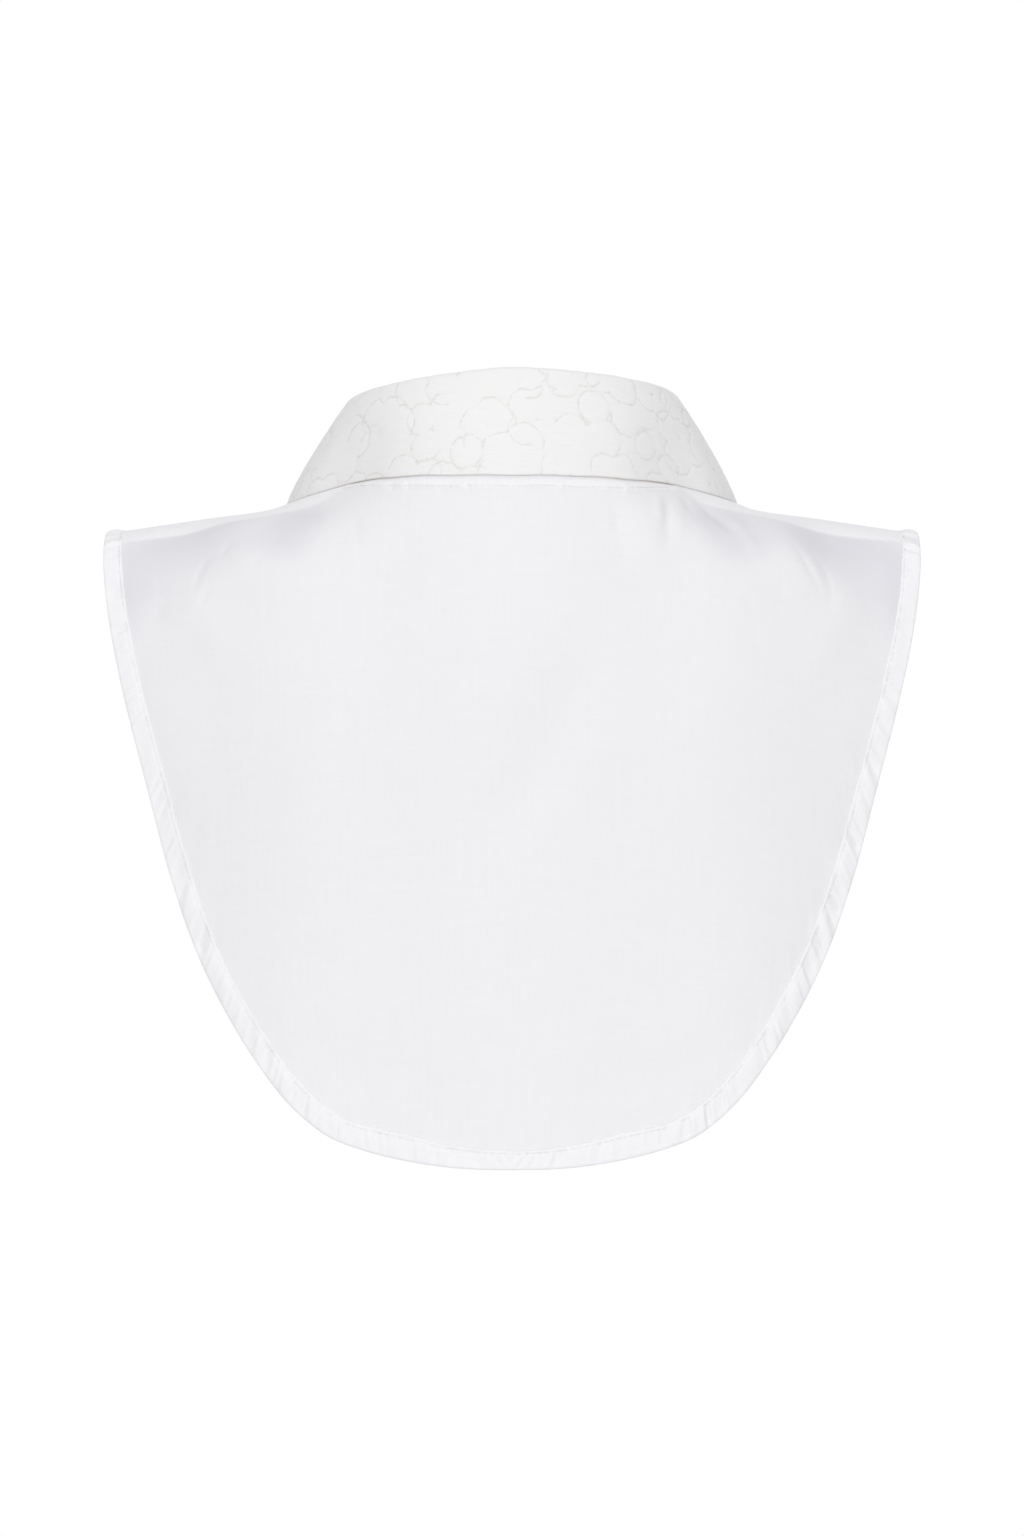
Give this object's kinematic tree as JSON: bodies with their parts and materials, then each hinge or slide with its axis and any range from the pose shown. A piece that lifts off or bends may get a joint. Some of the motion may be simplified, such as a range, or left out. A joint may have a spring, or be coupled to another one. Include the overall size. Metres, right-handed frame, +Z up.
{
  "type": "detachable collar",
  "caption": "White cotton detachable collar, a bib with a narrow hem, buttoned fronts and a turned-down collar of patterned ivory cloth, hollow as worn.",
  "frame": {"origin": "centre of the neck opening, level with the side of the neck, where the wearer's neck holds the collar up", "axes": "+Z up the wearer's neck, -Y the wearer's front, +X the wearer's left"},
  "size_m": [0.3576, 0.1975, 0.3463],
  "materials": {
    "bib_cloth": "matt plain-weave cotton",
    "collar_cloth": "matt ivory weave with a low raised pattern of petals and rounds",
    "pearl_button": "pearly, softly glossy"
  },
  "bodies": {
    "root": {"back_panel": "bib_cloth", "front_left": "bib_cloth", "front_right": "bib_cloth", "front_placket": "bib_cloth", "collar_stand": "collar_cloth", "collar_leaf": "collar_cloth", "button_collar": "pearl_button", "button_1": "pearl_button", "button_2": "pearl_button", "button_3": "pearl_button"}
  },
  "joints": []
}
